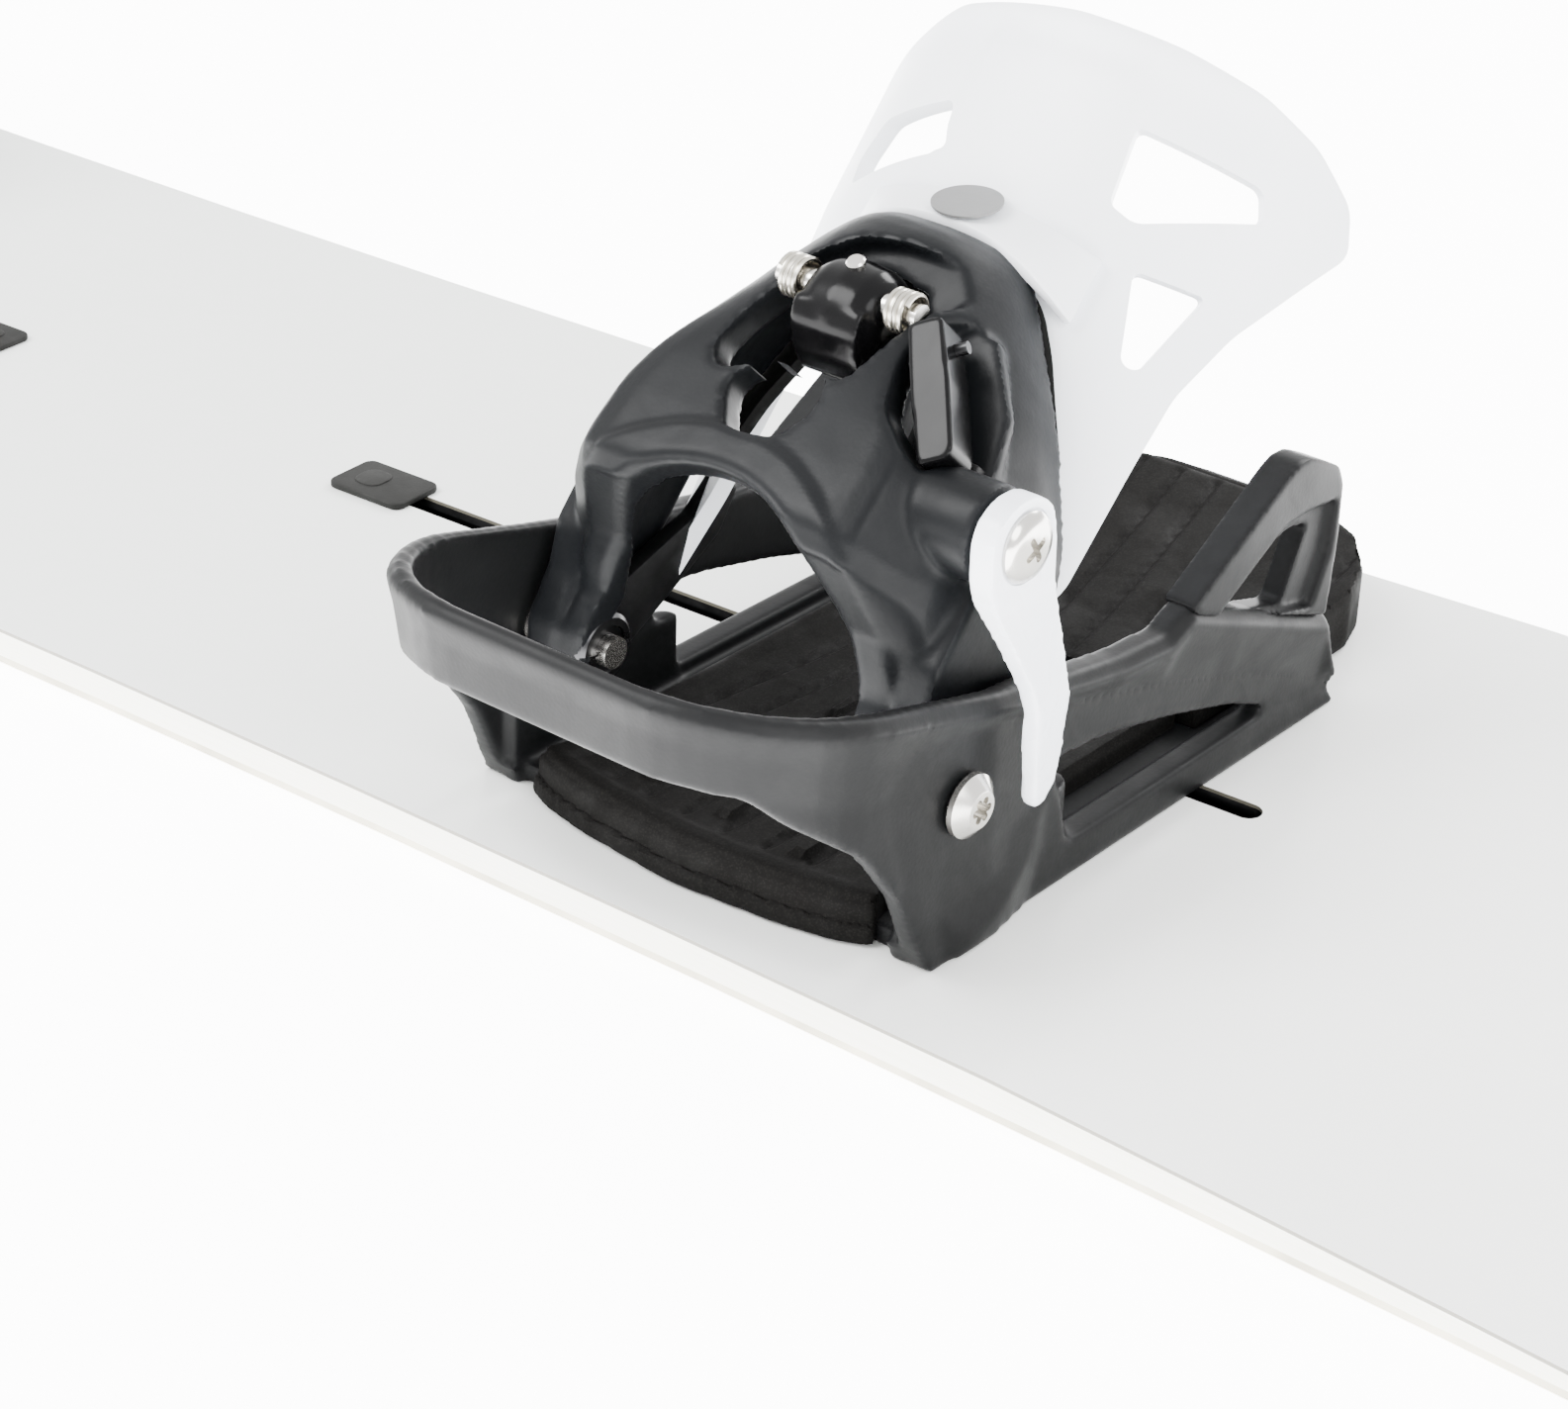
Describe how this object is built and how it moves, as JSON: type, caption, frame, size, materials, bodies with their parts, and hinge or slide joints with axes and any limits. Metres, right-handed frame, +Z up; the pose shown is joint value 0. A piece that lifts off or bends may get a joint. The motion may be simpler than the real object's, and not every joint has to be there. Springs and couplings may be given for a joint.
{
  "type": "snowboard with bindings",
  "caption": "Flat-based directional-twin snowboard with step-in bindings that fold, lean and release.",
  "frame": {"origin": "centre of the base at the waist, on the snow side", "axes": "+X along the board to the tail, +Y to the toe edge, +Z up"},
  "size_m": [1.55, 0.3111, 0.185],
  "materials": {
    "topsheet": "satin lacquer over glass fibre",
    "wood": "vertical strips",
    "sidewall": "planed",
    "edge_steel": "ground",
    "base": "structured and waxed",
    "rail": "moulded",
    "rubber": "moulded matt",
    "charcoal_nylon": "fine satin mould texture",
    "black_nylon": "moulded",
    "black_gloss": "polished mould",
    "foam": "fine grained foam",
    "steel": "turned and polished",
    "black_metal": "black zinc",
    "spring_steel": "drawn wire",
    "white_nylon": "fine satin",
    "badge_grey": "printed disc"
  },
  "bodies": {
    "board": {"topsheet": "topsheet", "wood_core": "wood", "sidewalls": "sidewall", "steel_edges": "edge_steel", "base_sheet": "base", "slot_rail_rear": "rail", "slot_rail_front": "rail", "slot_plug_rear": "rubber", "slot_plug_front": "rubber", "baseplate_rear": "charcoal_nylon", "heel_pad_rear": "foam", "toe_pad_rear": "foam", "toe_hooks_rear": "charcoal_nylon", "mounting_disc_rear": "black_nylon", "disc_screws_rear": "steel", "slot_nuts_rear": "steel", "side_bolts_rear": "steel", "side_nuts_rear": "black_metal", "side_bushes_rear": "steel", "baseplate_front": "charcoal_nylon", "heel_pad_front": "foam", "toe_pad_front": "foam", "toe_hooks_front": "charcoal_nylon", "mounting_disc_front": "black_nylon", "disc_screws_front": "steel", "slot_nuts_front": "steel", "side_bolts_front": "steel", "side_nuts_front": "black_metal", "side_bushes_front": "steel"},
    "arch_rear": {"heel_arch_rear": "charcoal_nylon", "arch_liner_rear": "rubber", "latch_shaft_rear": "steel", "latch_springs_rear": "spring_steel", "lean_block_rear": "black_nylon", "lean_pin_rear": "steel", "lever_screw_rear": "steel", "release_link_rear": "steel"},
    "highback_rear": {"highback_rear": "white_nylon", "badge_rear": "badge_grey"},
    "release_lever_rear": {"release_lever_rear": "white_nylon"},
    "latch_pawl_rear": {"latch_pawl_rear": "black_gloss", "latch_pin_rear": "steel"},
    "lean_lever_rear": {"lean_lever_rear": "black_gloss"},
    "arch_front": {"heel_arch_front": "charcoal_nylon", "arch_liner_front": "rubber", "latch_shaft_front": "steel", "latch_springs_front": "spring_steel", "lean_block_front": "black_nylon", "lean_pin_front": "steel", "lever_screw_front": "steel", "release_link_front": "steel"},
    "highback_front": {"highback_front": "white_nylon", "badge_front": "badge_grey"},
    "release_lever_front": {"release_lever_front": "white_nylon"},
    "latch_pawl_front": {"latch_pawl_front": "black_gloss", "latch_pin_front": "steel"},
    "lean_lever_front": {"lean_lever_front": "black_gloss"}
  },
  "joints": [
    {"name": "fold_rear", "type": "hinge", "parent": "board", "child": "arch_rear", "pos_m": [0.27508, -0.09387, 0.049], "axis": [-0.9986, 0.0523, 0], "range_deg": [-22, 12]},
    {"name": "lean_rear", "type": "hinge", "parent": "arch_rear", "child": "highback_rear", "pos_m": [0.27508, -0.09387, 0.049], "axis": [-0.9986, 0.0523, 0], "range_deg": [0, 5]},
    {"name": "release_rear", "type": "hinge", "parent": "arch_rear", "child": "release_lever_rear", "pos_m": [0.33983, -0.08124, 0.1065], "axis": [-0.9986, 0.0523, 0], "range_deg": [0, 40], "stiffness_Nm_per_rad": 0.25, "springref_deg": -11.46},
    {"name": "pawl_rear", "type": "hinge", "parent": "arch_rear", "child": "latch_pawl_rear", "pos_m": [0.27709, -0.05552, 0.13903], "axis": [-0.9986, 0.0523, 0], "range_deg": [0, 20]},
    {"name": "lean_catch_rear", "type": "hinge", "parent": "arch_rear", "child": "lean_lever_rear", "pos_m": [0.30485, -0.06088, 0.13365], "axis": [-0.8654, -0.3097, -0.3938], "range_deg": [0, 75]},
    {"name": "fold_front", "type": "hinge", "parent": "board", "child": "arch_front", "pos_m": [-0.27508, -0.09387, 0.049], "axis": [-0.9986, -0.0523, 0], "range_deg": [-22, 12]},
    {"name": "lean_front", "type": "hinge", "parent": "arch_front", "child": "highback_front", "pos_m": [-0.27508, -0.09387, 0.049], "axis": [-0.9986, -0.0523, 0], "range_deg": [0, 5]},
    {"name": "release_front", "type": "hinge", "parent": "arch_front", "child": "release_lever_front", "pos_m": [-0.33983, -0.08124, 0.1065], "axis": [-0.9986, -0.0523, 0], "range_deg": [0, 40], "stiffness_Nm_per_rad": 0.25, "springref_deg": -11.46},
    {"name": "pawl_front", "type": "hinge", "parent": "arch_front", "child": "latch_pawl_front", "pos_m": [-0.27709, -0.05552, 0.13903], "axis": [-0.9986, -0.0523, 0], "range_deg": [0, 20]},
    {"name": "lean_catch_front", "type": "hinge", "parent": "arch_front", "child": "lean_lever_front", "pos_m": [-0.30485, -0.06088, 0.13365], "axis": [-0.8654, 0.3097, 0.3938], "range_deg": [0, 75]}
  ],
  "couplings": [
    {"joint": "pawl_rear", "follows": "release_rear", "ratio": 0.5},
    {"joint": "pawl_front", "follows": "release_front", "ratio": 0.5}
  ]
}
